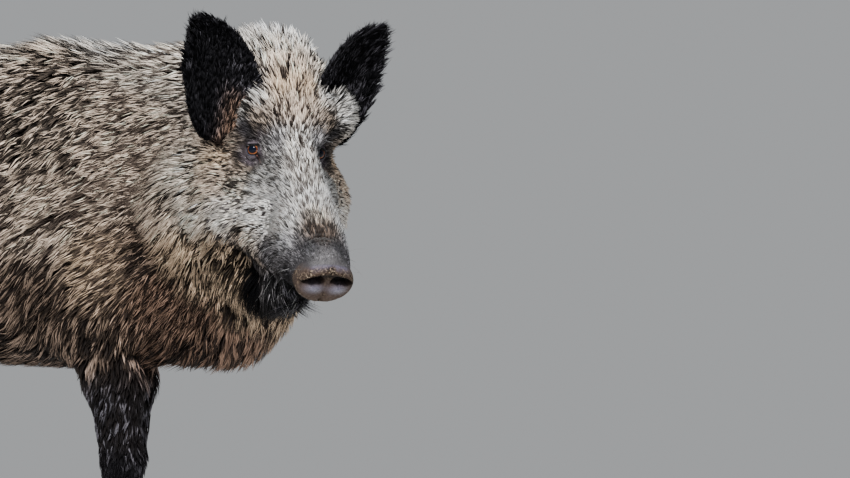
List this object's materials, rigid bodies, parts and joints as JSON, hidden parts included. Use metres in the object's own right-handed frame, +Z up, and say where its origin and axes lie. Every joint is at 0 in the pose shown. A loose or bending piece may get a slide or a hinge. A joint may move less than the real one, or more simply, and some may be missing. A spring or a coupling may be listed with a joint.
{
  "type": "wild boar model",
  "caption": "Still life-size model of a wild boar in winter coat, standing square with its head lowered and turned to its right.",
  "frame": {"origin": "middle of the bounding box's base, on the ground between the feet", "axes": "+Z up; the trunk lies along Y and faces -Y; the animal's left side is towards +X"},
  "size_m": [0.538, 1.2046, 0.826],
  "materials": {
    "coat": "grizzled bristle, pale tips over near-black, matt",
    "coat_dark": "blue-black hair, matt",
    "face": "short grey and cream hair, matt",
    "chin": "black beard hair, matt",
    "snout": "bare skin, moist, muddy upper rim",
    "eye": "glossy, orange-brown iris",
    "horn": "dark keratin, worn"
  },
  "bodies": {
    "root": {"head": "face", "lower_jaw": "chin", "snout": "snout", "neck": "coat", "trunk": "coat", "tail": "coat_dark", "eye_left": "eye", "eye_right": "eye", "ear_left": "coat_dark", "ear_right": "coat_dark", "foreleg_left": "coat_dark", "foreleg_right": "coat_dark", "hindleg_left": "coat_dark", "hindleg_right": "coat_dark", "hoof_fore_left_inner": "horn", "dewclaw_fore_left_inner": "horn", "hoof_fore_left_outer": "horn", "dewclaw_fore_left_outer": "horn", "hoof_fore_right_inner": "horn", "dewclaw_fore_right_inner": "horn", "hoof_fore_right_outer": "horn", "dewclaw_fore_right_outer": "horn", "hoof_hind_left_inner": "horn", "dewclaw_hind_left_inner": "horn", "hoof_hind_left_outer": "horn", "dewclaw_hind_left_outer": "horn", "hoof_hind_right_inner": "horn", "dewclaw_hind_right_inner": "horn", "hoof_hind_right_outer": "horn", "dewclaw_hind_right_outer": "horn"}
  },
  "joints": []
}
